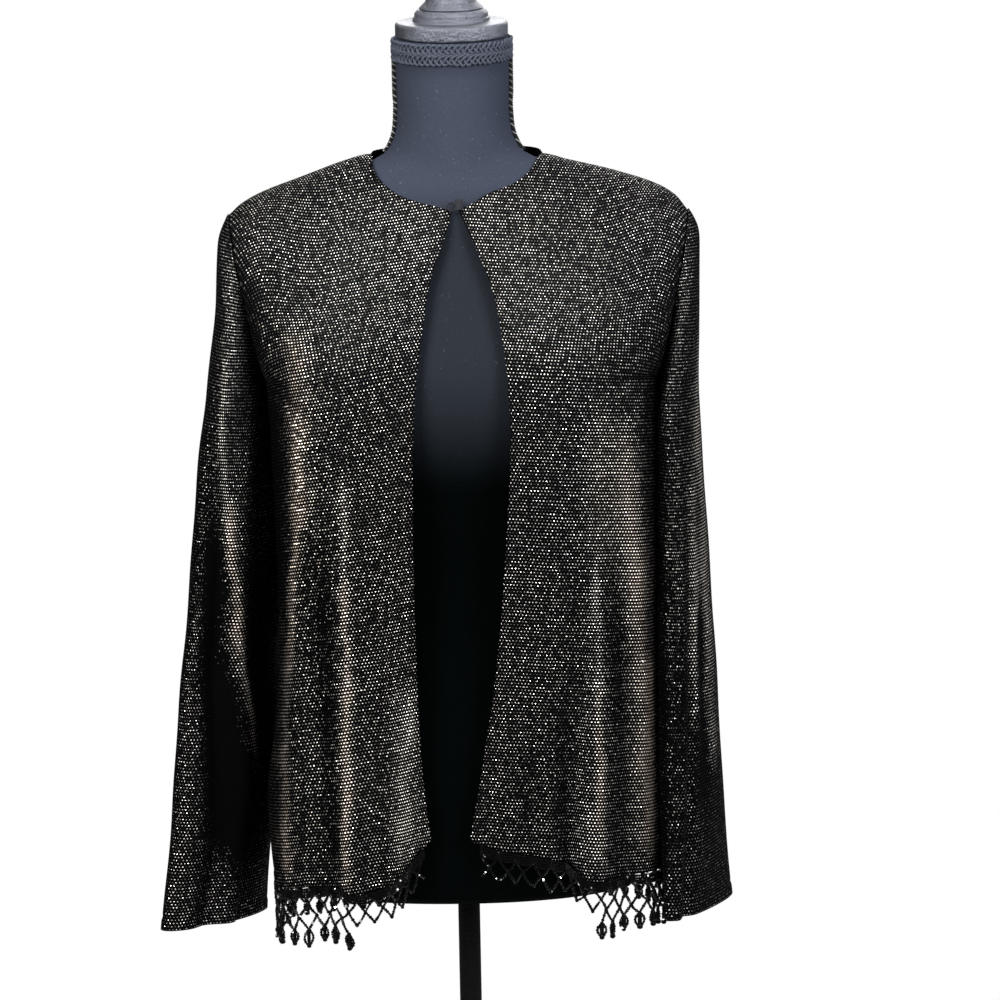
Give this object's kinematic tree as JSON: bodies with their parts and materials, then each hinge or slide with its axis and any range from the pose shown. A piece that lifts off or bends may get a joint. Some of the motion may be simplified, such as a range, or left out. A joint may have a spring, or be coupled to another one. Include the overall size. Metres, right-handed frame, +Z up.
{
  "type": "open-front cardigan on a dress form",
  "caption": "Black open-front knit cardigan with fine metallic dots, a neck hook and a beaded net fringe at the hem, on a limbless black dress form on a pole stand.",
  "frame": {"origin": "the centre of the stand base's flat underside, on the pole's axis", "axes": "+Z up, the cardigan's open front faces -Y, +X is to the viewer's right"},
  "size_m": [0.5383, 0.36, 1.6384],
  "materials": {
    "metallic_knit": "black slinky knit with fine champagne metallic dots",
    "bead_net": "black glass-like seed beads on thread",
    "hook_thread": "black covered hook and thread loop",
    "form_jersey": "dark slate jersey stretched over the form",
    "gimp_braid": "looped gimp braid and twisted cord",
    "cap_paint": "satin grey paint",
    "stand_metal": "satin black paint"
  },
  "bodies": {
    "root": {"front_left": "metallic_knit", "front_right": "metallic_knit", "back": "metallic_knit", "sleeve_left": "metallic_knit", "sleeve_right": "metallic_knit", "fringe_front_left": "bead_net", "fringe_front_right": "bead_net", "fringe_back": "bead_net", "neck_hook": "hook_thread", "neck_loop": "hook_thread", "dress_form": "form_jersey", "neck_braid": "gimp_braid", "neck_cord_left": "gimp_braid", "neck_cord_right": "gimp_braid", "neck_cap": "cap_paint", "finial": "cap_paint", "pole": "stand_metal", "stand_collar": "stand_metal", "stand_base": "stand_metal"}
  },
  "joints": []
}
